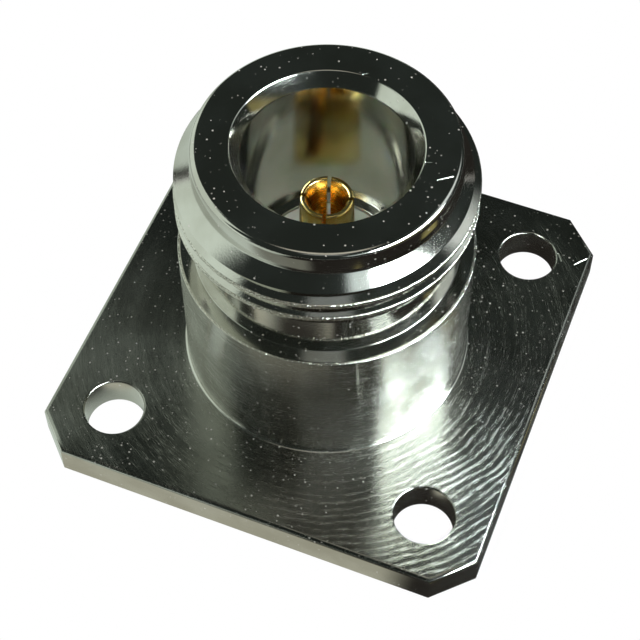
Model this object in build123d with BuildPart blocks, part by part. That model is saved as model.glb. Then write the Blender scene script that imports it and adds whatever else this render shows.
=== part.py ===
from build123d import *
import math
import os

# Panel receptacle of the n type: a screw-coupled coaxial socket with a square four-hole flange.
# Lengths are millimetres and angles degrees. The origin is the centre of the flange's rear
# mounting face, +Z points to the mating end, and the flange's sides lie along X and Y.

# Flange
flange_side = 25.4
flange_thickness = 2.0
flange_corner_cut = 2.0
flange_edge_round = 0.25
flange_rear_break = 0.1
hole_inset = 3.57
hole_diameter = 3.3
hole_edge_break = 0.12

# Turned outside, from the flange to the mating face
barrel_diameter = 15.88
barrel_length = 8.8
barrel_edge_break = 0.12
barrel_root_fillet = 0.15
thread_diameter = 15.7
thread_length = 2.05
relief_depth = 0.75
relief_length = 2.8
lead_in_depth = 0.95
nose_length = 1.3
nose_edge_round = 0.35

# Outer contact: a bore that opens towards the mating face and ends at the plane ring
bore_diameter = 8.08
bore_straight = 2.6
bore_flare = 0.36
mouth_flare = 0.51
mouth_depth = 0.75
face_to_plane = 9.1
plane_ring_width = 0.54
plane_ring_length = 1.2

# Insulator, pushed in from behind and held by the lip that is rolled over its rear edge
insulator_step = 0.8
lip_overhang = 0.3
lip_height = 0.4
insulator_recess = 0.15
insulator_clearance = 0.02

# Centre contact, a four-tined socket in front and a solder cup behind
contact_diameter = 3.04
tip_to_plane = 4.9
tip_closing = 0.13
tip_edge_round = 0.07
pin_bore_diameter = 1.66
pin_bore_depth = 6.4
pin_mouth_flare = 0.25
pin_mouth_depth = 0.7
slot_width = 0.2
slot_depth = 4.5
slot_count = 4
slot_turn = 15.0
barb_height = 0.23
barb_length = 0.9
barb_place = 3.0
contact_clearance = 0.02
cup_reach = 5.0
cup_wall = 0.42
cup_bore_depth = 3.4
cup_window_length = 2.4
cup_window_depth = 1.3
cup_edge_break = 0.1
drill_point_angle = 118.0

# Radii, from the axis outwards
contact_radius = contact_diameter / 2
barb_radius = contact_radius + barb_height
bore_radius = bore_diameter / 2
line_radius = bore_radius - plane_ring_width
seat_radius = line_radius + insulator_step
lip_radius = seat_radius - lip_overhang
bore_mouth_radius = bore_radius + bore_flare
mouth_radius = bore_mouth_radius + mouth_flare
thread_radius = thread_diameter / 2
relief_radius = thread_radius - relief_depth
nose_radius = thread_radius - lead_in_depth
barrel_radius = barrel_diameter / 2

# Heights along the axis; the cones at both ends of the thread are at 45 degrees
barrel_top = flange_thickness + barrel_length
relief_top = barrel_top + relief_length
thread_start = relief_top + relief_depth
thread_end = thread_start + thread_length
nose_start = thread_end + lead_in_depth
face_height = nose_start + nose_length
plane_height = face_height - face_to_plane
ring_rear = plane_height - plane_ring_length
tip_height = plane_height + tip_to_plane
slot_root = tip_height - slot_depth
cup_end = -cup_reach


def half_section(points):
    """Return the closed outline through (radius, height) points, in a plane through the axis."""
    with BuildSketch(Plane.XZ) as outline:
        with BuildLine():
            Polyline(*points, close=True)
        make_face()
    return outline.sketch


def drill_point(radius):
    """Return the height of the cone that a drill of this radius leaves at the end of its hole."""
    return radius / math.tan(math.radians(drill_point_angle / 2))


def round_edges_at(part, height):
    """Return the part's circular edges at a height, the largest last."""
    circles = part.edges().filter_by(GeomType.CIRCLE)
    return circles.filter_by_position(Axis.Z, height, height).sort_by(SortBy.RADIUS)


# Body: flange, barrel, thread, nose and outer contact are turned and milled from one bar.
# The thread is left at its outside diameter, between its lead-in cone and its relief.
with BuildPart() as body:
    with BuildSketch() as flange_outline:
        Rectangle(flange_side, flange_side)
        chamfer(flange_outline.vertices(), flange_corner_cut)
    extrude(amount=flange_thickness)
    fillet(body.edges().group_by(Axis.Z)[-1], flange_edge_round)
    chamfer(body.edges().group_by(Axis.Z)[0], flange_rear_break)

    revolve(half_section([
        (0, 0),
        (barrel_radius, 0),
        (barrel_radius, barrel_top),
        (relief_radius, barrel_top),
        (relief_radius, relief_top),
        (thread_radius, thread_start),
        (thread_radius, thread_end),
        (nose_radius, nose_start),
        (nose_radius, face_height),
        (0, face_height),
    ]), axis=Axis.Z)
    fillet(round_edges_at(body, flange_thickness)[-1], barrel_root_fillet)
    chamfer(round_edges_at(body, barrel_top)[-1], barrel_edge_break)
    fillet(round_edges_at(body, face_height)[-1], nose_edge_round)

    revolve(half_section([
        (0, face_height),
        (mouth_radius, face_height),
        (bore_mouth_radius, face_height - mouth_depth),
        (bore_radius, plane_height + bore_straight),
        (bore_radius, plane_height),
        (line_radius, plane_height),
        (line_radius, ring_rear),
        (seat_radius, ring_rear),
        (seat_radius, lip_height + lip_overhang),
        (lip_radius, lip_height),
        (lip_radius, 0),
        (0, 0),
    ]), axis=Axis.Z, mode=Mode.SUBTRACT)

    hole_spacing = flange_side - 2 * hole_inset
    with BuildSketch():
        with GridLocations(hole_spacing, hole_spacing, 2, 2):
            Circle(hole_diameter / 2)
    extrude(amount=flange_thickness, mode=Mode.SUBTRACT)
    for level in (0, flange_thickness):
        hole_edges = round_edges_at(body, level).group_by(SortBy.RADIUS)[0]
        chamfer(hole_edges, hole_edge_break)

# Insulator: a stepped bead that fills the rear of the body and stops against the plane ring.
insulator_front = plane_height - insulator_recess
insulator_line_radius = line_radius - insulator_clearance
insulator_seat_radius = seat_radius - insulator_clearance
insulator_lip_radius = lip_radius - insulator_clearance
contact_hole_radius = contact_radius + contact_clearance
barb_groove_radius = barb_radius + contact_clearance
barb_front = barb_place + barb_length

with BuildPart() as insulator:
    revolve(half_section([
        (contact_hole_radius, 0),
        (insulator_lip_radius, 0),
        (insulator_lip_radius, lip_height),
        (insulator_seat_radius, lip_height + lip_overhang),
        (insulator_seat_radius, ring_rear),
        (insulator_line_radius, ring_rear),
        (insulator_line_radius, insulator_front),
        (contact_hole_radius, insulator_front),
        (contact_hole_radius, barb_front + contact_clearance),
        (barb_groove_radius, barb_place + contact_clearance),
        (barb_groove_radius, barb_place),
        (contact_hole_radius, barb_place),
    ]), axis=Axis.Z)

# Centre contact: one turned pin with a barb that bites the insulator.
with BuildPart() as centre_contact:
    revolve(half_section([
        (0, cup_end),
        (contact_radius, cup_end),
        (contact_radius, barb_place),
        (barb_radius, barb_place),
        (contact_radius, barb_front),
        (contact_radius, slot_root),
        (contact_radius - tip_closing, tip_height),
        (0, tip_height),
    ]), axis=Axis.Z)
    fillet(round_edges_at(centre_contact, tip_height)[-1], tip_edge_round)
    chamfer(round_edges_at(centre_contact, cup_end)[-1], cup_edge_break)

    pin_bore_radius = pin_bore_diameter / 2
    pin_bore_end = tip_height - pin_bore_depth
    revolve(half_section([
        (0, tip_height),
        (pin_bore_radius + pin_mouth_flare, tip_height),
        (pin_bore_radius, tip_height - pin_mouth_depth),
        (pin_bore_radius, pin_bore_end),
        (0, pin_bore_end - drill_point(pin_bore_radius)),
    ]), axis=Axis.Z, mode=Mode.SUBTRACT)
    cup_bore_radius = contact_radius - cup_wall
    cup_bore_end = cup_end + cup_bore_depth
    revolve(half_section([
        (0, cup_end),
        (cup_bore_radius, cup_end),
        (cup_bore_radius, cup_bore_end),
        (0, cup_bore_end + drill_point(cup_bore_radius)),
    ]), axis=Axis.Z, mode=Mode.SUBTRACT)

    with BuildSketch(Plane.XY.offset(slot_root)):
        with PolarLocations(contact_radius / 2, slot_count, start_angle=slot_turn):
            Rectangle(contact_radius, slot_width)
    extrude(amount=slot_depth, mode=Mode.SUBTRACT)

    with BuildSketch(Plane.XZ.offset(contact_radius)):
        with Locations((0, cup_end + cup_window_length / 2)):
            Rectangle(contact_diameter, cup_window_length)
    extrude(amount=-cup_window_depth, mode=Mode.SUBTRACT)

os.makedirs("parts", exist_ok=True)
body.part.label = "body"
insulator.part.label = "insulator"
centre_contact.part.label = "centre_contact"
for piece in (body.part, insulator.part, centre_contact.part):
    export_step(piece, f"parts/{piece.label}.step")
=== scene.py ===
"""The n type panel connector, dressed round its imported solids.

Bright nickel plate over turned brass, a PTFE bead and a gold plated socket contact. Sizes are
millimetres and become metres where a mesh is made, and the frame is the CAD's own.
"""

import logging
import math
from dataclasses import dataclass, field
from enum import Enum, IntEnum
from typing import Any, Callable

import bmesh
import bpy
from mathutils import Matrix, Vector

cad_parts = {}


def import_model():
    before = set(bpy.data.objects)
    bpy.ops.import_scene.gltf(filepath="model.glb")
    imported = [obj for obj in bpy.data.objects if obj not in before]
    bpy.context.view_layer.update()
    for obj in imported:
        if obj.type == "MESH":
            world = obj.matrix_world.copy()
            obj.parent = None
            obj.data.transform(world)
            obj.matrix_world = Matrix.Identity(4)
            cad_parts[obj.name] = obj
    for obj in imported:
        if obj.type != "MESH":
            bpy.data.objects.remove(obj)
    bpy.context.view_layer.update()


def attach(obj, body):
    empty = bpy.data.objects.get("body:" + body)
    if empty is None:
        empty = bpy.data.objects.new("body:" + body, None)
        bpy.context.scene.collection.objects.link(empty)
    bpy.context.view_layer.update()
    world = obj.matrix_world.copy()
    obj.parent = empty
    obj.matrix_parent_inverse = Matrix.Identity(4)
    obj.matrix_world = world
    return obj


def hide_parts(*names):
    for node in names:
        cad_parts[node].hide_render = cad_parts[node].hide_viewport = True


MM = 0.001
FULL_TURN = 2 * math.pi
TURN_STEPS = 256
LAY_ROUND_AXIS = 0.25  # Anisotropic rotation of a surface whose tool marks run round the axis.
TOUCH = 1e-6  # Metres within which two places count as one.
LOG = logging.getLogger("connector")

Outline = list[tuple[float, float]]
Socket = bpy.types.NodeSocket
WorkMesh = bmesh.types.BMesh


def srgb(code: str) -> tuple[float, float, float, float]:
    """Turn a colour's sRGB hex code into linear red, green, blue and alpha.

    Args:
        code: Six hex digits after a hash sign.

    Returns:
        The linear colour, opaque.
    """
    parts = [int(code[i:i + 2], 16) / 255 for i in (1, 3, 5)]
    linear = [c / 12.92 if c <= 0.04045 else ((c + 0.055) / 1.055) ** 2.4 for c in parts]
    return (*linear, 1.0)


def add_node(tree: bpy.types.NodeTree, kind: str, settings: dict[str, Any] | None = None,
             inputs: dict[Any, Any] | None = None) -> bpy.types.Node:
    """Add a node with its settings, and fill or link its inputs.

    Args:
        tree: The tree that takes the node.
        kind: The node's type name without its ShaderNode prefix.
        settings: Values of the node's own properties.
        inputs: For each input, by name or number, a value or the output socket to link from.

    Returns:
        The new node.
    """
    node = tree.nodes.new("ShaderNode" + kind)
    for name, value in (settings or {}).items():
        setattr(node, name, value)
    for key, value in (inputs or {}).items():
        socket = node.inputs[key]
        if isinstance(value, Socket):
            tree.links.new(value, socket)
        else:
            socket.default_value = value
    return node


@dataclass(frozen=True)
class Scratch:
    """One scratch or nick: a short straight line on a face, in millimetres."""

    start: tuple[float, float, float]
    end: tuple[float, float, float]
    width: float
    depth: float


class Palette:
    """Shared outputs that every finish starts from: place, radius and turning coordinates."""

    def __init__(self, tree: bpy.types.NodeTree) -> None:
        """Add the coordinate nodes.

        Args:
            tree: The material's node tree.
        """
        self.tree = tree
        coordinates = add_node(tree, "TexCoord")
        self.place = add_node(tree, "VectorMath", {"operation": "SCALE"},
                              {0: coordinates.outputs["Object"], "Scale": 1 / MM}).outputs[0]
        parts = add_node(tree, "SeparateXYZ", None, {0: self.place})
        x, y, self.height = parts.outputs
        flat = add_node(tree, "CombineXYZ", None, {0: x, 1: y})
        self.radius = add_node(tree, "VectorMath", {"operation": "LENGTH"},
                               {0: flat.outputs[0]}).outputs["Value"]
        heading = add_node(tree, "VectorMath", {"operation": "NORMALIZE"}, {0: flat.outputs[0]})
        self.cosine, self.sine, _ = add_node(tree, "SeparateXYZ", None,
                                             {0: heading.outputs[0]}).outputs

    def math(self, operation: str, *values: Any, clamp: bool = False) -> Socket:
        """Work out one number from others.

        Args:
            operation: The Math node's operation.
            values: Numbers or outputs, in order.
            clamp: Whether the result is kept between 0 and 1.

        Returns:
            The result's output.
        """
        settings = {"operation": operation, "use_clamp": clamp}
        return add_node(self.tree, "Math", settings, dict(enumerate(values))).outputs[0]

    def blend(self, share: Any, low: float, high: float, start: float = 0.0,
              end: float = 1.0) -> Socket:
        """Map an output from one range smoothly to another.

        Args:
            share: The output to map.
            low: Its value at the range's start.
            high: Its value at the range's end.
            start: The result there.
            end: The result at the end.

        Returns:
            The mapped output.
        """
        inputs = {"Value": share, "From Min": low, "From Max": high, "To Min": start, "To Max": end}
        return add_node(self.tree, "MapRange", {"interpolation_type": "SMOOTHSTEP"},
                        inputs).outputs["Result"]

    def turning_marks(self, pitch: float, waver: float) -> Socket:
        """Give rings of tool marks that run round the axis on any turned surface.

        Args:
            pitch: The tool's feed for a turn, in millimetres.
            waver: How much the marks change along their own length.

        Returns:
            Their height, from 0 to 1.
        """
        across = self.math("DIVIDE", self.radius, pitch)
        along = self.math("DIVIDE", self.height, pitch)
        feed = self.math("ADD", across, along)
        side = self.math("MULTIPLY", self.cosine, waver)
        front = self.math("MULTIPLY", self.sine, waver)
        place = add_node(self.tree, "CombineXYZ", None, {0: feed, 1: side, 2: front})
        return add_node(self.tree, "TexNoise", None, {
            "Vector": place.outputs[0], "Scale": 1.0, "Detail": 3.0, "Roughness": 0.6
        }).outputs["Fac"]

    def cloud(self, size: float, detail: float = 3.0, shift: float = 0.0) -> Socket:
        """Give soft uneven patches.

        Args:
            size: How far apart the patches are, in millimetres.
            detail: Octaves of finer patches.
            shift: Moves the pattern, so that two of one size differ.

        Returns:
            A value from 0 to 1.
        """
        return add_node(self.tree, "TexNoise", {"noise_dimensions": "4D"},
                        {"Vector": self.place, "W": shift, "Scale": 1 / size, "Detail": detail}
                        ).outputs["Fac"]

    def specks(self, spacing: float, size: float, share: float) -> Socket:
        """Give small round pits or grains in random places.

        Args:
            spacing: The mean distance between places, in millimetres.
            size: The largest one's radius, in millimetres.
            share: The share of the places that has one.

        Returns:
            1 at a speck's middle and 0 beside it.
        """
        cells = add_node(self.tree, "TexVoronoi", None,
                         {"Vector": self.place, "Scale": 1 / spacing})
        chance, size_draw, _ = add_node(self.tree, "SeparateColor", None,
                                        {0: cells.outputs["Color"]}).outputs
        reach = self.blend(size_draw, 0.0, 1.0, size / spacing * 0.4, size / spacing)
        near = self.math("SUBTRACT", 1.0, self.math("DIVIDE", cells.outputs["Distance"], reach),
                         clamp=True)
        bright = self.blend(chance, share, 0.0, 0.12, 1.0)
        round_off = self.math("MULTIPLY", self.blend(near, 0.0, 0.7), bright)
        return self.math("MULTIPLY", round_off, self.math("LESS_THAN", chance, share))

    def scratch(self, mark: Scratch) -> Socket:
        """Give one scratch as a share from 0 beside it to 1 in its middle.

        Args:
            mark: The scratch.

        Returns:
            The share's output.
        """
        start, end = Vector(mark.start), Vector(mark.end)
        run = end - start
        offset = add_node(self.tree, "VectorMath", {"operation": "SUBTRACT"},
                          {0: self.place, 1: start}).outputs[0]
        along = add_node(self.tree, "VectorMath", {"operation": "DOT_PRODUCT"},
                         {0: offset, 1: run / run.length_squared}).outputs["Value"]
        along = self.math("ADD", along, 0.0, clamp=True)
        foot = add_node(self.tree, "VectorMath", {"operation": "SCALE"},
                        {0: run, "Scale": along}).outputs[0]
        away = add_node(self.tree, "VectorMath", {"operation": "DISTANCE"},
                        {0: offset, 1: foot}).outputs["Value"]
        return self.blend(away, 0.0, mark.width, 1.0, 0.0)

    def mix(self, share: Socket, start: Any, end: Any) -> Socket:
        """Mix two colours.

        Args:
            share: How much of the second one.
            start: The first colour, linear or an output.
            end: The second colour.

        Returns:
            The colour's output.
        """
        return add_node(self.tree, "Mix", {"data_type": "RGBA"},
                        {"Factor": share, "A": start, "B": end}).outputs["Result"]

    def dress(self, tone: Socket, rough: Socket, height: Socket) -> bpy.types.Node:
        """Give the Principled shader its colour, roughness and relief.

        Args:
            tone: The colour.
            rough: The roughness.
            height: The relief's height, in millimetres.

        Returns:
            The shader.
        """
        bump = add_node(self.tree, "Bump", None,
                        {"Height": height, "Distance": MM, "Strength": 1.0})
        shader = self.tree.nodes["Principled BSDF"]
        for name, output in (("Base Color", tone), ("Roughness", rough),
                             ("Normal", bump.outputs[0])):
            self.tree.links.new(output, shader.inputs[name])
        return shader


def open_material(name: str) -> tuple[bpy.types.Material, Palette]:
    """Start a material with nodes.

    Args:
        name: Its name.

    Returns:
        The material and the palette of its tree.
    """
    material = bpy.data.materials.new(name)
    material.use_nodes = True
    return material, Palette(material.node_tree)


@dataclass(frozen=True)
class NickelPlate:
    """Bright nickel plate over turned brass.

    The plate copies the tool marks under it, so a light is drawn out across them. Rings where
    the tool tore the brass scatter it far to both sides, which fans a lamp out over a faced
    plate, and small nodules in the plate show as pale grains in the dark reflections. The lower
    torn_level is, the more of the surface is torn, and None leaves it whole.
    """

    # From where to where each of these grows: radii, shares of a side, and the torn share.
    CHATTER_RADII = (8.6, 10.6)
    CHATTER_SIDE = (0.9, 1.38)
    GRIT_SIDE = (-0.6, 0.5)
    TORN_RANGE = (-0.7, -0.26)
    CREST_HIGHLIGHT_AND_WEAR_BAND = (-0.06, -0.01)

    name: str
    light: str = "#D6D5CE"
    dark: str = "#C4C2B9"
    roughness: float = 0.16
    roughness_spread: float = 0.06
    stretch: float = 0.0
    feed: float = 0.12
    feed_depth: float = 0.0006
    waver: float = 0.4
    torn_level: float | None = None
    torn_roughness: float = 0.5
    torn_rings: float = 0.3
    torn_grit: float = 1.0
    torn_feed: float = 0.0
    nodule_spacing: float = 0.3
    nodule_size: float = 0.075
    nodule_share: float = 0.6
    grain_size: float = 0.1
    grain_depth: float = 0.0015
    # Along the crests the colour is painted lighter as a painted highlight; the crests are also
    # worn there, rougher and chipped.
    crest_highlight_and_wear_radius: float = 0.0
    crest_highlight_colour: str = "#E4E1D6"
    worn_roughness: float = 0.12
    chip_depth: float = 0.06
    scratches: tuple[Scratch, ...] = ()

    def make(self) -> bpy.types.Material:
        """Build the finish.

        Returns:
            The material.
        """
        material, hand = open_material(self.name)
        marks = hand.turning_marks(self.feed, self.waver)
        cloud = hand.cloud(3.0)
        nodules = hand.specks(self.nodule_spacing, self.nodule_size, self.nodule_share)
        grain = hand.cloud(self.grain_size, 2.0, 5.0)

        tone = hand.mix(hand.blend(cloud, 0.35, 0.65), srgb(self.dark), srgb(self.light))
        half_spread = self.roughness_spread / 2
        rough = hand.blend(cloud, 0.3, 0.7, self.roughness - half_spread,
                           self.roughness + half_spread)
        if self.torn_level is not None:
            torn = self.torn_share(hand, marks)
            whole = hand.math("SUBTRACT", 1.0, torn)
            rough = hand.math("ADD", hand.math("MULTIPLY", rough, whole),
                              hand.math("MULTIPLY", torn, self.torn_roughness))

        height = hand.math("MULTIPLY", marks, self.feed_depth)
        height = hand.math("ADD", height, hand.math("MULTIPLY", grain, self.grain_depth))
        # Painted highlight along the crests: a lighter colour in a band just under the crest
        # radius, together with real wear: more roughness and chipped bumps.
        if self.crest_highlight_and_wear_radius:
            crest = hand.blend(hand.radius, *(self.crest_highlight_and_wear_radius + part for part in self.CREST_HIGHLIGHT_AND_WEAR_BAND))
            tone = hand.mix(crest, tone, srgb(self.crest_highlight_colour))
            rough = hand.math("ADD", rough, hand.math("MULTIPLY", crest, self.worn_roughness))
            chips = hand.math("MULTIPLY", hand.cloud(0.1, 1.0, 9.0), crest)
            height = hand.math("ADD", height, hand.math("MULTIPLY", chips, self.chip_depth))
        for mark in self.scratches:
            share = hand.scratch(mark)
            height = hand.math("SUBTRACT", height, hand.math("MULTIPLY", share, mark.depth))
            rough = hand.math("ADD", rough, hand.math("MULTIPLY", share, 0.2))

        shader = hand.dress(tone, rough, height)
        hand.tree.links.new(hand.math("SUBTRACT", 1.0, nodules), shader.inputs["Metallic"])
        if self.stretch:
            tangent = add_node(hand.tree, "Tangent", {"direction_type": "RADIAL", "axis": "Z"})
            shader.inputs["Anisotropic"].default_value = self.stretch
            shader.inputs["Anisotropic Rotation"].default_value = LAY_ROUND_AXIS
            hand.tree.links.new(tangent.outputs[0], shader.inputs["Tangent"])
        return material

    def torn_share(self, hand: Palette, marks: Socket) -> Socket:
        """Give how torn the surface is: fine grit, and feed rings where the tool chattered.

        The tool chattered on the outer part of the side towards +X and -Y, and cut calmly on
        the side across from it.

        Args:
            hand: The material's palette.
            marks: The turning marks, from 0 to 1.

        Returns:
            The share, from 0 to 1.
        """
        fine = hand.turning_marks(self.feed / 16, self.waver * 25)
        rings = hand.math("MULTIPLY", hand.math("SUBTRACT", marks, 0.5), self.torn_rings)
        grit = hand.math("MULTIPLY", hand.math("SUBTRACT", fine, 0.5), self.torn_grit)
        sway = hand.math("MULTIPLY", hand.cloud(2.5, 1.0, 2.0), 2.0)
        turns = hand.math("ADD", hand.math("DIVIDE", hand.radius, self.feed), sway)
        wave = hand.math("SINE", hand.math("MULTIPLY", turns, FULL_TURN))
        side = hand.math("SUBTRACT", hand.cosine, hand.sine)
        chatter = hand.math(
            "MULTIPLY", hand.blend(hand.radius, *self.CHATTER_RADII, 0.3, 1.0),
            hand.blend(side, *self.CHATTER_SIDE, 0.1 * self.torn_feed, self.torn_feed))
        rings = hand.math("ADD", rings, hand.math("MULTIPLY", wave, chatter))
        coarse = hand.math("MULTIPLY", hand.math("ADD", grit, rings),
                           hand.blend(side, *self.GRIT_SIDE, 0.35, 1.0))
        return hand.blend(hand.math("SUBTRACT", coarse, self.torn_level), *self.TORN_RANGE)


@dataclass(frozen=True)
class GoldPlate:
    """Bright gold plate over a turned copper alloy, with fine lathe rings and a soft gloss."""

    name: str = "gold_plate"
    # These colours are painted paler than plain gold: painted light on the contact's outside.
    light: str = "#FFEAA6"
    dark: str = "#F7D27C"
    roughness: float = 0.2
    feed: float = 0.06
    feed_depth: float = 0.0008

    def make(self) -> bpy.types.Material:
        """Build the finish.

        Returns:
            The material.
        """
        material, hand = open_material(self.name)
        marks = hand.turning_marks(self.feed, 0.6)
        patches = hand.blend(hand.cloud(0.8), 0.35, 0.65)
        tone = hand.mix(patches, srgb(self.dark), srgb(self.light))
        rough = hand.blend(marks, 0.3, 0.7, self.roughness - 0.04, self.roughness + 0.06)
        shader = hand.dress(tone, rough, hand.math("MULTIPLY", marks, self.feed_depth))
        shader.inputs["Metallic"].default_value = 1.0
        return material


@dataclass(frozen=True)
class TurnedPtfe:
    """Turned PTFE: a waxy white plastic with rings from the lathe and a dull sheen."""

    name: str = "turned_ptfe"
    light: str = "#E2E8DC"
    dark: str = "#CDD5C6"
    roughness: float = 0.42
    feed: float = 0.1
    feed_depth: float = 0.003
    index: float = 1.35

    def make(self) -> bpy.types.Material:
        """Build the finish.

        Returns:
            The material.
        """
        material, hand = open_material(self.name)
        marks = hand.turning_marks(self.feed, 0.4)
        patches = hand.blend(hand.cloud(1.5), 0.3, 0.7)
        tone = hand.mix(patches, srgb(self.dark), srgb(self.light))
        rough = hand.blend(marks, 0.3, 0.7, self.roughness - 0.05, self.roughness + 0.08)
        shader = hand.dress(tone, rough, hand.math("MULTIPLY", marks, self.feed_depth))
        shader.inputs["IOR"].default_value = self.index
        shader.inputs["Subsurface Weight"].default_value = 0.15
        shader.inputs["Subsurface Scale"].default_value = MM
        return material


def turn(outline: Outline, steps: int = TURN_STEPS) -> WorkMesh:
    """Turn a closed outline about the Z axis.

    Args:
        outline: (radius, height) points in millimetres, in order.
        steps: Steps round the full turn.

    Returns:
        The closed mesh, with its normals outwards.
    """
    mesh = bmesh.new()
    corners = [mesh.verts.new((radius * MM, 0, height * MM)) for radius, height in outline]
    for pair in zip(corners, corners[1:] + corners[:1]):
        mesh.edges.new(pair)
    bmesh.ops.spin(mesh, geom=mesh.verts[:] + mesh.edges[:], cent=(0, 0, 0), axis=(0, 0, 1),
                   angle=FULL_TURN, steps=steps, use_merge=True)
    bmesh.ops.remove_doubles(mesh, verts=mesh.verts[:], dist=1e-8)
    bmesh.ops.dissolve_degenerate(mesh, edges=mesh.edges[:], dist=1e-8)
    bmesh.ops.recalc_face_normals(mesh, faces=mesh.faces[:])
    return mesh


def at_ring(vertex: bmesh.types.BMVert, radius: float, height: float) -> bool:
    """Tell whether a vertex lies on a ring.

    Args:
        vertex: The vertex.
        radius: The ring's radius, in millimetres.
        height: The ring's height, in millimetres.

    Returns:
        Whether it does.
    """
    place = vertex.co
    return (abs(math.hypot(place.x, place.y) - radius * MM) < TOUCH
            and abs(place.z - height * MM) < TOUCH)


def round_ring(mesh: WorkMesh, radius: float, height: float, size: float,
               segments: int = 3) -> None:
    """Round the corner at a ring of a turned mesh.

    Args:
        mesh: The mesh.
        radius: The ring's radius.
        height: The ring's height.
        size: The rounding's size, in millimetres.
        segments: Its facets.
    """
    edges = [e for e in mesh.edges if all(at_ring(v, radius, height) for v in e.verts)]
    bmesh.ops.bevel(mesh, geom=edges, offset=size * MM, offset_type="OFFSET", segments=segments,
                    profile=0.5, affect="EDGES", material=-1)


def steady_normals(piece: bpy.types.Object, sharp_angle: float) -> None:
    """Keep large faces flat in the shading and let their small roundings turn.

    Args:
        piece: The piece.
        sharp_angle: Edges that turn by more than this many degrees stay crisp.
    """
    piece.data.set_sharp_from_angle(angle=math.radians(sharp_angle))
    weighting = piece.modifiers.new("weighting", "WEIGHTED_NORMAL")
    weighting.keep_sharp = True
    weighting.weight = 100
    apply_modifiers(piece)


def finish_mesh(mesh: WorkMesh, name: str, finish: bpy.types.Material) -> bpy.types.Object:
    """Turn a working mesh into a smooth shaded object in the scene.

    Args:
        mesh: The working mesh, which is freed.
        name: The piece's name.
        finish: Its material.

    Returns:
        The new object, at the origin.
    """
    for face in mesh.faces:
        face.smooth = True
    piece = loose_object(mesh, name)
    piece.data.materials.append(finish)
    return piece


def loose_object(mesh: WorkMesh, name: str) -> bpy.types.Object:
    """Put a working mesh into the scene as it is.

    Args:
        mesh: The working mesh, which is freed.
        name: The object's name.

    Returns:
        The object.
    """
    data = bpy.data.meshes.new(name)
    mesh.to_mesh(data)
    mesh.free()
    item = bpy.data.objects.new(name, data)
    bpy.context.scene.collection.objects.link(item)
    return item


def cut_away(piece: bpy.types.Object, cutters: list[bpy.types.Object]) -> None:
    """Cut shapes out of a piece and remove them.

    Args:
        piece: The piece.
        cutters: The shapes.
    """
    for cutter in cutters:
        cut = piece.modifiers.new(cutter.name, "BOOLEAN")
        cut.operation = "DIFFERENCE"
        cut.solver = "EXACT"
        cut.object = cutter
    apply_modifiers(piece)
    for cutter in cutters:
        bpy.data.meshes.remove(cutter.data)


def apply_modifiers(piece: bpy.types.Object) -> None:
    """Bake a piece's modifiers into its mesh.

    Args:
        piece: The object.
    """
    graph = bpy.context.evaluated_depsgraph_get()
    baked = bpy.data.meshes.new_from_object(piece.evaluated_get(graph))
    old = piece.data
    piece.modifiers.clear()
    piece.data = baked
    baked.name = old.name
    bpy.data.meshes.remove(old)


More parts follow.
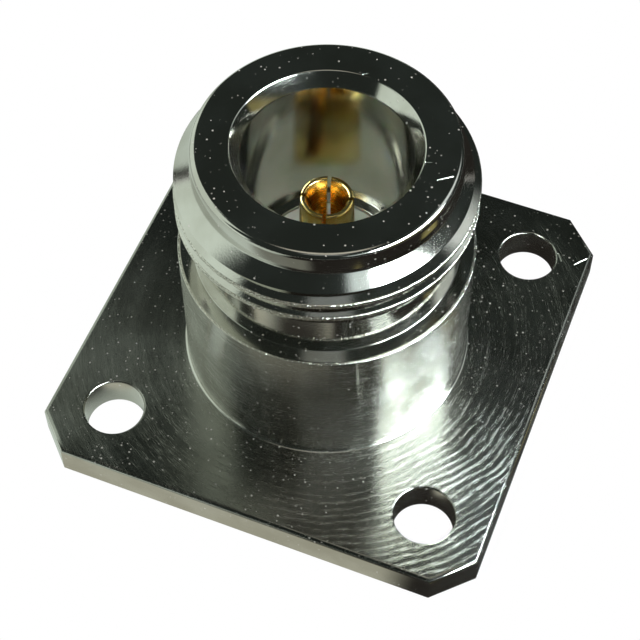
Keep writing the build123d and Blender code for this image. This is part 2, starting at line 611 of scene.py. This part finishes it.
@dataclass
class Flange:
    """The square plate with clipped corners, four screw holes and a faced front."""

    side: float = 25.4
    thickness: float = 2.0
    corner_cut: float = 2.0
    edge_round: float = 0.25
    rear_break: float = 0.1
    hole_inset: float = 3.57
    hole_diameter: float = 3.3
    hole_edge: float = 0.12
    middle_radius: float = 3.96
    rim_tilt: float = 0.7
    finish: NickelPlate = NickelPlate(
        name="nickel_faced_flange", light="#A9A9A2", dark="#96968E", roughness=0.13,
        roughness_spread=0.02, stretch=1.0, feed=0.42, feed_depth=0.0025, waver=0.8,
        torn_level=0.61, torn_grit=0.6, torn_feed=0.07, nodule_share=0.95, nodule_size=0.085,
        scratches=(
            Scratch((10.75, 9.9, 2.0), (11.05, 9.45, 2.0), 0.09, 0.04),
            Scratch((11.9, 9.5, 2.0), (12.45, 10.15, 2.0), 0.07, 0.04),
        ))
    rim_finish: NickelPlate = NickelPlate(
        name="nickel_milled_rim", roughness=0.2, feed_depth=0.0, nodule_share=0.4)

    def holes(self) -> list[tuple[float, float]]:
        """Return the middles of the four screw holes."""
        reach = self.side / 2 - self.hole_inset
        return [(x, y) for x in (-reach, reach) for y in (-reach, reach)]

    def build(self) -> bpy.types.Object:
        """Make and dress the plate.

        Returns:
            The plate's object.
        """
        mesh = bmesh.new()
        half = self.side / 2 * MM
        bmesh.ops.create_grid(mesh, x_segments=1, y_segments=1, size=half)
        bmesh.ops.bevel(mesh, geom=mesh.verts[:], offset=self.corner_cut * MM, segments=1,
                        profile=0.5, affect="VERTICES", material=-1)
        bmesh.ops.delete(mesh, geom=mesh.faces[:], context="FACES_ONLY")
        for x, y in self.holes():
            bmesh.ops.create_circle(mesh, segments=96, radius=self.hole_diameter / 2 * MM,
                                    matrix=Matrix.Translation((x * MM, y * MM, 0)))
        bmesh.ops.create_circle(mesh, segments=96, radius=self.middle_radius * MM)
        bmesh.ops.triangle_fill(mesh, edges=mesh.edges[:], use_beauty=True)
        bmesh.ops.dissolve_limit(mesh, angle_limit=0.01, verts=[], edges=mesh.edges[:])
        lifted = bmesh.ops.extrude_face_region(mesh, geom=mesh.faces[:])
        top = [item for item in lifted["geom"] if isinstance(item, bmesh.types.BMVert)]
        bmesh.ops.translate(mesh, verts=top, vec=(0, 0, self.thickness * MM))
        bmesh.ops.recalc_face_normals(mesh, faces=mesh.faces[:])
        self.round_rims(mesh)
        piece = finish_mesh(mesh, "flange_plate", self.finish.make())
        piece.data.materials.append(self.rim_finish.make())
        for face in piece.data.polygons:
            face.material_index = int(abs(face.normal.z) < self.rim_tilt)
        return piece

    def round_rims(self, mesh: WorkMesh) -> None:
        """Round the plate's rims: the outside more than the holes.

        Args:
            mesh: The plate's mesh.
        """
        def rims(height: float, outside: bool) -> list[bmesh.types.BMEdge]:
            """Return the sharp edges at a height, of the outside or of the holes."""
            found = []
            for edge in mesh.edges:
                level = all(abs(v.co.z - height * MM) < TOUCH for v in edge.verts)
                if level and len(edge.link_faces) == 2 and edge.calc_face_angle() > 1.0:
                    middle = (edge.verts[0].co + edge.verts[1].co) / 2
                    reach = max(abs(middle.x), abs(middle.y), (abs(middle.x) + abs(middle.y))
                                - (self.side / 2 - self.corner_cut) * MM)
                    if (reach > (self.side / 2) * MM - 1e-5) == outside:
                        found.append(edge)
            return found

        for height, outside, size, segments in (
                (self.thickness, True, self.edge_round, 4), (0.0, True, self.rear_break, 2),
                (self.thickness, False, self.hole_edge, 3), (0.0, False, self.hole_edge, 3)):
            bmesh.ops.bevel(mesh, geom=rims(height, outside), offset=size * MM, segments=segments,
                            profile=0.5, affect="EDGES", material=-1)


@dataclass
class Thread:
    """The right-hand coupling thread, 24 turns an inch, cut into the barrel's front."""

    crest_radius: float = 7.85
    pitch: float = 25.4 / 24
    depth: float = 0.63
    crest_width: float = 0.28
    root_width: float = 0.18
    crest_break: float = 0.05
    root_round: float = 0.03
    overcut: float = 0.12
    crest_angle: float = -67.3
    crest_height: float = 15.84
    low_end: float = 13.0
    high_end: float = 18.2

    def groove(self) -> Outline:
        """Return the cutter's closed outline, as radius and height from the groove's middle."""
        top = (self.pitch - self.crest_width) / 2
        root = self.root_width / 2
        upper = [
            (self.crest_radius - self.depth, root * 0.5),
            (self.crest_radius - self.depth + self.root_round, root),
            (self.crest_radius - self.crest_break, top - self.crest_break * 0.4),
            (self.crest_radius + self.overcut, top + self.overcut + self.crest_break * 0.6),
        ]
        return upper + [(radius, -height) for radius, height in reversed(upper)]

    def cutter(self) -> bpy.types.Object:
        """Return the helical body that cuts the groove."""
        rise_to_start = self.low_end - (self.crest_height + self.pitch / 2)
        start = math.radians(self.crest_angle) + rise_to_start / self.pitch * FULL_TURN
        turns = (self.high_end - self.low_end) / self.pitch
        steps = int(turns * TURN_STEPS)
        mesh = bmesh.new()
        corners = [mesh.verts.new((radius * MM, 0, (self.low_end + height) * MM))
                   for radius, height in self.groove()]
        for pair in zip(corners, corners[1:] + corners[:1]):
            mesh.edges.new(pair)
        bmesh.ops.rotate(mesh, verts=mesh.verts[:], matrix=Matrix.Rotation(start, 3, "Z"))
        bmesh.ops.spin(mesh, geom=mesh.verts[:] + mesh.edges[:], cent=(0, 0, 0), axis=(0, 0, 1),
                       dvec=(0, 0, turns * self.pitch * MM / steps), angle=turns * FULL_TURN,
                       steps=steps)
        bmesh.ops.holes_fill(mesh, edges=mesh.edges[:], sides=0)
        bmesh.ops.recalc_face_normals(mesh, faces=mesh.faces[:])
        return loose_object(mesh, "thread_groove")


class Skin(IntEnum):
    """The turned body's finishes, numbered as its material slots."""

    BARREL = 0
    NOSE = 1
    BORE = 2
    THREAD = 3


@dataclass
class Barrel:
    """Everything turned in front of the flange: barrel, relief, thread, nose and bore."""

    start: float = 2.0
    barrel_radius: float = 7.94
    barrel_top: float = 10.8
    barrel_edge: float = 0.03
    root_fillet: float = 0.15
    relief_radius: float = 7.1
    relief_top: float = 13.6
    thread_radius: float = 7.85
    thread_start: float = 14.35
    thread_end: float = 16.4
    nose_radius: float = 6.9
    nose_start: float = 17.35
    face: float = 18.65
    nose_edge: float = 0.35
    relief_corner: float = 0.03
    nose_corner: float = 0.04
    mouth_edge: float = 0.05
    mouth_blend: float = 0.06
    plane_edge: float = 0.05
    mouth_radius: float = 4.91
    mouth_depth: float = 0.75
    bore_mouth_radius: float = 4.4
    bore_radius: float = 4.04
    bore_straight_top: float = 12.15
    plane: float = 9.55
    line_radius: float = 3.5
    ring_rear: float = 8.35
    seat_radius: float = 4.3
    cone_reach: float = 1.0
    bright_cone: float = 0.5
    skin_margin: float = 0.02
    thread: Thread = field(default_factory=Thread)
    skin: NickelPlate = NickelPlate(
        name="nickel_turned_barrel", roughness=0.17, stretch=1.0, feed=0.11, feed_depth=0.0008,
        torn_level=0.7, nodule_share=0.3)
    nose_skin: NickelPlate = NickelPlate(
        name="nickel_bright_nose", roughness=0.09, roughness_spread=0.03, feed=0.16,
        feed_depth=0.0003, scratches=(
            Scratch((5.86, -0.13, 18.65), (6.5, 0.36, 18.65), 0.04, 0.025),
            Scratch((4.93, 0.72, 18.65), (5.2, 0.82, 18.65), 0.03, 0.02),
            Scratch((0.05, 4.98, 18.65), (0.22, 5.1, 18.65), 0.05, 0.03),
        ))
    bore_skin: NickelPlate = NickelPlate(
        name="nickel_bored_wall", roughness=0.12, stretch=0.9, feed=0.09, feed_depth=0.0006,
        nodule_share=0.0)
    # The thread's crests carry a painted highlight, a lighter colour, besides their wear.
    thread_skin: NickelPlate = NickelPlate(
        name="nickel_cut_thread", roughness=0.09, roughness_spread=0.03, feed=0.1,
        feed_depth=0.0006, crest_highlight_and_wear_radius=7.85)

    def outline(self) -> Outline:
        """Return the closed outline, outside first and then down the bore."""
        turns = [math.radians(90 * step / 8) for step in range(9)]
        root = [(self.barrel_radius + self.root_fillet * (1 - math.sin(angle)),
                 self.start + self.root_fillet * (1 - math.cos(angle))) for angle in turns]
        return root + [
            (self.barrel_radius, self.barrel_top),
            (self.relief_radius, self.barrel_top),
            (self.relief_radius, self.relief_top),
            (self.thread_radius, self.thread_start),
            (self.thread_radius, self.thread_end),
            (self.nose_radius, self.nose_start),
            (self.nose_radius, self.face),
            (self.mouth_radius, self.face),
            (self.bore_mouth_radius, self.face - self.mouth_depth),
            (self.bore_radius, self.bore_straight_top),
            (self.bore_radius, self.plane),
            (self.line_radius, self.plane),
            (self.line_radius, self.ring_rear),
            (self.seat_radius, self.ring_rear),
            (self.seat_radius, self.start),
        ]

    def build(self) -> bpy.types.Object:
        """Make and dress the turned body.

        Returns:
            The body's object.
        """
        mesh = turn(self.outline())
        for radius, height, size in (
                (self.barrel_radius, self.barrel_top, self.barrel_edge),
                (self.relief_radius, self.barrel_top, self.relief_corner),
                (self.nose_radius, self.nose_start, self.nose_corner),
                (self.nose_radius, self.face, self.nose_edge),
                (self.mouth_radius, self.face, self.mouth_edge),
                (self.bore_mouth_radius, self.face - self.mouth_depth, self.mouth_blend),
                (self.bore_radius, self.plane, self.plane_edge),
                (self.line_radius, self.plane, self.plane_edge)):
            round_ring(mesh, radius, height, size, segments=8)
        piece = finish_mesh(mesh, "turned_body", self.skin.make())
        cut_away(piece, [self.thread.cutter()])
        for finish in (self.nose_skin, self.bore_skin, self.thread_skin):
            piece.data.materials.append(finish.make())
        for face in piece.data.polygons:
            face.material_index = self.zone(face.center)
        return piece

    def zone(self, place: Vector) -> Skin:
        """Return the finish of a place on the body.

        Args:
            place: The place, in metres.

        Returns:
            The finish: the nose's goes on over the front part of its cone.
        """
        radius, height = math.hypot(place.x, place.y) / MM, place.z / MM
        if height > self.nose_start - self.cone_reach and radius > self.bore_mouth_radius:
            on_nose = (radius < self.nose_radius + self.skin_margin
                       or height > self.nose_start - self.bright_cone)
            return Skin.NOSE if on_nose else Skin.THREAD
        if radius < self.mouth_radius:
            return Skin.BORE
        return Skin.THREAD if height > self.barrel_top - self.barrel_edge else Skin.BARREL


@dataclass
class Insulator:
    """The PTFE bead that holds the centre contact."""

    hole_radius: float = 1.54
    lip_radius: float = 3.92
    lip_height: float = 0.4
    seat_radius: float = 4.28
    shoulder: float = 8.35
    line_radius: float = 3.48
    front: float = 9.4
    front_edge: float = 0.08
    lip_edge: float = 0.06
    hole_edge: float = 0.05
    finish: TurnedPtfe = TurnedPtfe()

    def build(self) -> bpy.types.Object:
        """Make and dress the bead.

        Returns:
            The bead's object.
        """
        slope = self.seat_radius - self.lip_radius
        mesh = turn([
            (self.hole_radius, 0.0),
            (self.lip_radius, 0.0),
            (self.lip_radius, self.lip_height),
            (self.seat_radius, self.lip_height + slope),
            (self.seat_radius, self.shoulder),
            (self.line_radius, self.shoulder),
            (self.line_radius, self.front),
            (self.hole_radius, self.front),
        ], steps=128)
        round_ring(mesh, self.line_radius, self.front, self.front_edge)
        round_ring(mesh, self.lip_radius, 0.0, self.lip_edge)
        round_ring(mesh, self.hole_radius, 0.0, self.hole_edge)
        return finish_mesh(mesh, "ptfe_bead", self.finish.make())


@dataclass
class CentreContact:
    """The turned gold plated pin: a slotted socket in front and a solder cup behind."""

    radius: float = 1.52
    tip: float = 14.45
    tip_closing: float = 0.13
    bore_radius: float = 0.83
    bore_depth: float = 6.4
    mouth_flare: float = 0.31
    funnel_depth: float = 0.7
    slot_width: float = 0.2
    slot_depth: float = 4.5
    slot_turn: float = 15.0
    cup_end: float = -5.0
    cup_bore: float = 1.1
    cup_depth: float = 3.4
    window_length: float = 2.4
    window_depth: float = 1.3
    cup_drill_point: float = 0.6
    bore_drill_point: float = 0.5
    tip_edge: float = 0.11
    rim_edge: float = 0.08
    cup_edge: float = 0.1
    sawn_edge: float = 0.04
    bore_margin: float = 0.2
    tip_margin: float = 0.1
    finish: GoldPlate = GoldPlate()
    # The bore's inside is the same gold painted darker and deeper as painted shade, and rougher
    # from the drill.
    shaded_bore_finish: GoldPlate = GoldPlate(
        name="gold_drilled_shaded_bore", light="#FFE29A", dark="#F6C868", roughness=0.24)

    def build(self) -> bpy.types.Object:
        """Make and dress the contact.

        Returns:
            The contact's object.
        """
        tip_radius = self.radius - self.tip_closing
        bore_end = self.tip - self.bore_depth
        cup_bottom = self.cup_end + self.cup_depth
        mesh = turn([
            (0.0, cup_bottom + self.cup_drill_point),
            (self.cup_bore, cup_bottom),
            (self.cup_bore, self.cup_end),
            (self.radius, self.cup_end),
            (self.radius, self.tip - self.slot_depth),
            (tip_radius, self.tip),
            (self.bore_radius + self.mouth_flare, self.tip),
            (self.bore_radius, self.tip - self.funnel_depth),
            (self.bore_radius, bore_end),
            (0.0, bore_end - self.bore_drill_point),
        ], steps=96)
        round_ring(mesh, tip_radius, self.tip, self.tip_edge, 5)
        round_ring(mesh, self.bore_radius + self.mouth_flare, self.tip, self.rim_edge, 4)
        round_ring(mesh, self.radius, self.cup_end, self.cup_edge, 2)
        piece = finish_mesh(mesh, "socket_contact", self.finish.make())
        cut_away(piece, self.cutters())
        edge = piece.modifiers.new("edge", "BEVEL")
        edge.width = self.sawn_edge * MM
        edge.segments = 2
        edge.limit_method = "ANGLE"
        edge.angle_limit = math.radians(50)
        apply_modifiers(piece)
        # Inside the bore goes the painted shade copy of the gold.
        piece.data.materials.append(self.shaded_bore_finish.make())
        for face in piece.data.polygons:
            x, y, z = face.center
            inside = math.hypot(x, y) < (self.bore_radius + self.bore_margin) * MM
            face.material_index = int(inside and z < (self.tip - self.tip_margin) * MM)
        return piece

    def cutters(self) -> list[bpy.types.Object]:
        """Return the blocks that saw the two crossing slots and the solder cup's window."""
        reach = 4 * self.radius * MM
        saw = Matrix.Diagonal((reach, self.slot_width * MM, 2 * self.slot_depth * MM, 1))
        place = Matrix.Translation((0, 0, self.tip * MM))
        blocks = []
        for index in range(2):
            turn_by = Matrix.Rotation(math.radians(self.slot_turn + 90 * index), 4, "Z")
            blocks.append((f"slot_{index}", place @ turn_by @ saw))
        window = Matrix.Diagonal((reach, reach / 2, 2 * self.window_length * MM, 1))
        middle = (0, (self.window_depth - 2 * self.radius) * MM, self.cup_end * MM)
        blocks.append(("window", Matrix.Translation(middle) @ window))
        found = []
        for name, matrix in blocks:
            mesh = bmesh.new()
            bmesh.ops.create_cube(mesh, size=1.0, matrix=matrix)
            found.append(loose_object(mesh, name))
        return found


def aim(direction: tuple[float, float], distance: float, target: Vector) -> Matrix:
    """Return a lamp's matrix, facing a target.

    Args:
        direction: Azimuth from +X and elevation of the place, in degrees.
        distance: How far it stands from the target, in metres.
        target: The point that it faces.

    Returns:
        The world matrix.
    """
    azimuth, elevation = (math.radians(angle) for angle in direction)
    away = Vector((math.cos(azimuth) * math.cos(elevation),
                   math.sin(azimuth) * math.cos(elevation), math.sin(elevation)))
    turned = away.to_track_quat("Z", "Y").to_matrix().to_4x4()
    return Matrix.Translation(target + away * distance) @ turned


@dataclass(frozen=True)
class Softbox:
    """A rectangular area lamp."""

    name: str
    direction: tuple[float, float]
    distance: float
    size: tuple[float, float]
    radiance: float
    colour: str = "#FFFFFF"
    in_reflections: bool = True

    def place(self, target: Vector) -> None:
        """Add the lamp to the scene.

        Args:
            target: The point it faces.
        """
        lamp = bpy.data.lights.new(self.name, "AREA")
        lamp.shape = "RECTANGLE"
        lamp.size, lamp.size_y = self.size
        lamp.color = srgb(self.colour)[:3]
        lamp.energy = self.radiance * math.pi * self.size[0] * self.size[1]
        holder = bpy.data.objects.new(self.name, lamp)
        holder.matrix_world = aim(self.direction, self.distance, target)
        holder.visible_glossy = self.in_reflections
        bpy.context.scene.collection.objects.link(holder)


class Chart(Enum):
    """What a glow chart's two coordinates are."""

    DOME = "azimuth and elevation, in degrees"
    FLOOR = "x and y, in millimetres"


@dataclass(frozen=True)
class Zone:
    """A soft edged rectangle of light on a dark card or on the dark tent."""

    centre: tuple[float, float]
    half: tuple[float, float]
    soft: float
    radiance: float
    colour: str = "#FFFFFF"

    def light(self) -> tuple[float, float, float, float]:
        """Return the zone's linear colour times its radiance."""
        return (*(self.radiance * part for part in srgb(self.colour)[:3]), 1.0)


@dataclass(frozen=True)
class Glow:
    """A surface that shines in zones, for what the metal reflects."""

    name: str
    chart: Chart
    dark: Zone
    zones: tuple[Zone, ...]

    def make(self) -> bpy.types.Material:
        """Build the finish.

        Returns:
            The material.
        """
        material, hand = open_material(self.name)
        tone: Any = self.dark.light()
        for zone in self.zones:
            shares = (self.soft_edge(hand, offset, half, zone.soft)
                      for offset, half in zip(self.offsets(hand, zone), zone.half))
            tone = hand.mix(hand.math("MULTIPLY", *shares), tone, zone.light())
        shine = add_node(hand.tree, "Emission", None, {"Color": tone})
        surface = hand.tree.nodes["Material Output"].inputs["Surface"]
        hand.tree.links.new(shine.outputs[0], surface)
        return material

    def offsets(self, hand: Palette, zone: Zone) -> tuple[Socket, Socket]:
        """Return how far a place is from a zone's centre along the chart's two directions.

        Args:
            hand: The material's palette.
            zone: The zone.

        Returns:
            Both distances.
        """
        if self.chart is Chart.FLOOR:
            parts = add_node(hand.tree, "SeparateXYZ", None, {0: hand.place}).outputs
            return tuple(hand.math("ABSOLUTE", hand.math("SUBTRACT", part, middle))
                         for part, middle in zip(parts[:2], zone.centre))
        turned = add_node(hand.tree, "VectorRotate", {"rotation_type": "Z_AXIS"},
                          {"Vector": hand.place, "Angle": -math.radians(zone.centre[0])})
        unit = add_node(hand.tree, "VectorMath", {"operation": "NORMALIZE"},
                        {0: turned.outputs[0]})
        x, y, z = add_node(hand.tree, "SeparateXYZ", None, {0: unit.outputs[0]}).outputs
        azimuth = hand.math("DEGREES", hand.math("ARCTAN2", y, x))
        height = hand.math("DEGREES", hand.math("ARCSINE", z))
        elevation = hand.math("SUBTRACT", height, zone.centre[1])
        return hand.math("ABSOLUTE", azimuth), hand.math("ABSOLUTE", elevation)

    def soft_edge(self, hand: Palette, offset: Socket, half: float, soft: float) -> Socket:
        """Give 1 within a half width and 0 beyond its soft edge.

        Args:
            hand: The material's palette.
            offset: How far a place is from the middle.
            half: The half width.
            soft: How far the edge reaches to both sides of it.

        Returns:
            The share's output.
        """
        return hand.blend(offset, half - soft, half + soft, 1.0, 0.0)


@dataclass
class Studio:
    """Pale floor, soft lamps, dark flags that only reflections see, and the camera.

    Radii and the card's gap over the floor are metres; heights and places are millimetres.
    """

    floor_height: float = -5.05
    floor_radius: float = 3.0
    floor_colour: str = "#F6F6F4"
    tent_radius: float = 0.9
    card_radius: float = 0.6
    card_gap: float = 0.0001
    lamp_target: tuple[float, float, float] = (0.0, 0.0, 8.0)
    world_strength: float = 0.8
    camera_place: tuple[float, float, float] = (20.06, -51.49, 86.17)
    camera_azimuth: float = 22.665
    camera_elevation: float = 54.423
    camera_roll: float = -1.082
    focal_px: float = 1757.4
    centre_px: tuple[float, float] = (302.2, 259.2)
    frame_px: float = 640.0
    lamps: tuple[Softbox, ...] = (
        Softbox("key_lamp", (14.0, 50.0), 0.35, (0.12, 0.12), 8.0, in_reflections=False),
        Softbox("top_fill", (250.0, 75.0), 0.6, (0.5, 0.5), 0.6, in_reflections=False),
    )
    tent: Glow = Glow("dark_tent", Chart.DOME, Zone((0, 0), (0, 0), 0, 0.03, "#E8FFF4"), (
        Zone((176.0, 19.0), (37.0, 40.0), 3.0, 0.9, "#EDFAEE"),
        Zone((222.0, 8.0), (14.0, 15.0), 3.0, 0.9, "#EDFAEE"),
        Zone((-72.0, 66.0), (22.0, 6.0), 6.0, 0.35, "#F6FFFF"),
        Zone((-24.0, 33.0), (30.0, 5.0), 5.0, 1.0, "#F0FFFF"),
        Zone((-6.0, 33.0), (25.0, 2.0), 8.0, 250.0, "#EEFBFF"),
        Zone((0.0, 92.0), (200.0, 15.0), 4.0, 0.7, "#FFFBEE"),
        Zone((46.0, 44.0), (17.0, 10.0), 6.0, 1.0, "#F6FFFF"),
        Zone((-5.0, 7.0), (24.0, 5.0), 3.0, 0.28, "#FFF2A0"),
    ))
    card: Glow = Glow("dark_card", Chart.FLOOR, Zone((0, 0), (0, 0), 0, 0.025, "#FFF6E8"), (
        Zone((-110.0, 0.0), (102.0, 200.0), 6.0, 0.7, "#EDFAEE"),
        Zone((-6.0, -26.0), (10.0, 4.5), 2.5, 0.25, "#F2F6E6"),
        Zone((-3.0, -15.0), (11.0, 3.0), 1.2, 0.55, "#F4F4E0"),
        Zone((21.5, 5.0), (3.5, 3.0), 1.0, 0.35, "#FFF2A0"),
        Zone((16.0, -17.0), (1.5, 1.5), 0.7, 0.35, "#FFF2A0"),
    ))

    def build(self) -> None:
        """Set the stage, the lamps, the world, the flags and the camera."""
        self.lay_floor()
        self.hang_flags()
        for lamp in self.lamps:
            lamp.place(Vector(self.lamp_target) * MM)
        self.light_world()
        self.place_camera()
        bpy.context.scene.view_settings.view_transform = "Standard"

    def stand(self, name: str, mesh: WorkMesh, material: bpy.types.Material) -> bpy.types.Object:
        """Add a stage object.

        Args:
            name: Its name.
            mesh: Its mesh, which is freed.
            material: Its material.

        Returns:
            The object.
        """
        item = loose_object(mesh, name)
        item.data.materials.append(material)
        return item

    def lay_floor(self) -> None:
        """Lay the pale floor under the solder cup, pure white to the camera."""
        mesh = bmesh.new()
        bmesh.ops.create_circle(mesh, cap_ends=True, segments=96, radius=self.floor_radius,
                                matrix=Matrix.Translation((0, 0, self.floor_height * MM)))
        material = bpy.data.materials.new("floor")
        material.use_nodes = True
        tree = material.node_tree
        shader = tree.nodes["Principled BSDF"]
        shader.inputs["Base Color"].default_value = srgb(self.floor_colour)
        shader.inputs["Roughness"].default_value = 0.9
        shader.inputs["Specular IOR Level"].default_value = 0.1
        seen = add_node(tree, "LightPath")
        white = add_node(tree, "Emission", None, {"Color": srgb("#FFFFFF"), "Strength": 1.0})
        either = add_node(tree, "MixShader", None, {
            0: seen.outputs["Is Camera Ray"], 1: shader.outputs[0], 2: white.outputs[0]})
        tree.links.new(either.outputs[0], tree.nodes["Material Output"].inputs["Surface"])
        self.stand("floor", mesh, material)

    def hang_flags(self) -> None:
        """Hang the tent and lay the card that only the metal's reflections see."""
        tent = bmesh.new()
        bmesh.ops.create_uvsphere(tent, u_segments=72, v_segments=36, radius=self.tent_radius)
        card = bmesh.new()
        card_height = self.floor_height * MM + self.card_gap
        bmesh.ops.create_circle(card, cap_ends=True, segments=72, radius=self.card_radius,
                                matrix=Matrix.Translation((0, 0, card_height)))
        for glow, mesh in ((self.tent, tent), (self.card, card)):
            flag = self.stand(glow.name, mesh, glow.make())
            flag.visible_camera = False
            flag.visible_diffuse = False
            flag.visible_shadow = False
            flag.visible_transmission = False

    def light_world(self) -> None:
        """Fill the room with even pale light."""
        world = bpy.data.worlds.new("pale_room")
        world.use_nodes = True
        back = world.node_tree.nodes["Background"]
        back.inputs["Color"].default_value = srgb("#FCFCFA")
        back.inputs["Strength"].default_value = self.world_strength
        bpy.context.scene.world = world

    def place_camera(self) -> None:
        """Stand the camera where the photograph was taken from."""
        azimuth, elevation, roll = (math.radians(angle) for angle in (
            self.camera_azimuth, self.camera_elevation, self.camera_roll))
        back = Vector((math.sin(azimuth) * math.cos(elevation),
                       -math.cos(azimuth) * math.cos(elevation), math.sin(elevation)))
        right = Vector((math.cos(azimuth), math.sin(azimuth), 0))
        up = back.cross(right)
        rolled_right = math.cos(roll) * right + math.sin(roll) * up
        rolled_up = back.cross(rolled_right)
        turned = Matrix((rolled_right, rolled_up, back)).transposed().to_4x4()
        lens = bpy.data.cameras.new("camera")
        lens.sensor_width = 36.0
        lens.lens = self.focal_px / self.frame_px * lens.sensor_width
        lens.shift_x = (self.frame_px / 2 - self.centre_px[0]) / self.frame_px
        lens.shift_y = (self.centre_px[1] - self.frame_px / 2) / self.frame_px
        lens.clip_start = 0.005
        lens.clip_end = 20.0
        holder = bpy.data.objects.new("camera", lens)
        holder.matrix_world = Matrix.Translation(Vector(self.camera_place) * MM) @ turned
        bpy.context.scene.collection.objects.link(holder)
        bpy.context.scene.camera = holder


@dataclass(frozen=True)
class Part:
    """One visible piece: how it is built, the node it stands for and its material slot."""

    build: Callable[[], bpy.types.Object]
    node: str
    slot: str
    sharp_angle: float = 35.0


def main() -> None:
    """Build every piece round the frame and set the stage."""
    logging.basicConfig(level=logging.INFO, format="%(name)s: %(message)s")
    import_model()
    parts = (
        Part(Flange().build, "body", "nickel_plate"),
        Part(Barrel().build, "body", "nickel_plate", sharp_angle=14.0),
        Part(Insulator().build, "insulator", "white_ptfe"),
        Part(CentreContact().build, "centre_contact", "gold_plate"),
    )
    for part in parts:
        piece = part.build()
        steady_normals(piece, part.sharp_angle)
        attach(piece, "root")
        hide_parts(part.node)
        LOG.info("%s: %d faces", piece.name, len(piece.data.polygons))
    Studio().build()


if __name__ == "__main__":
    main()
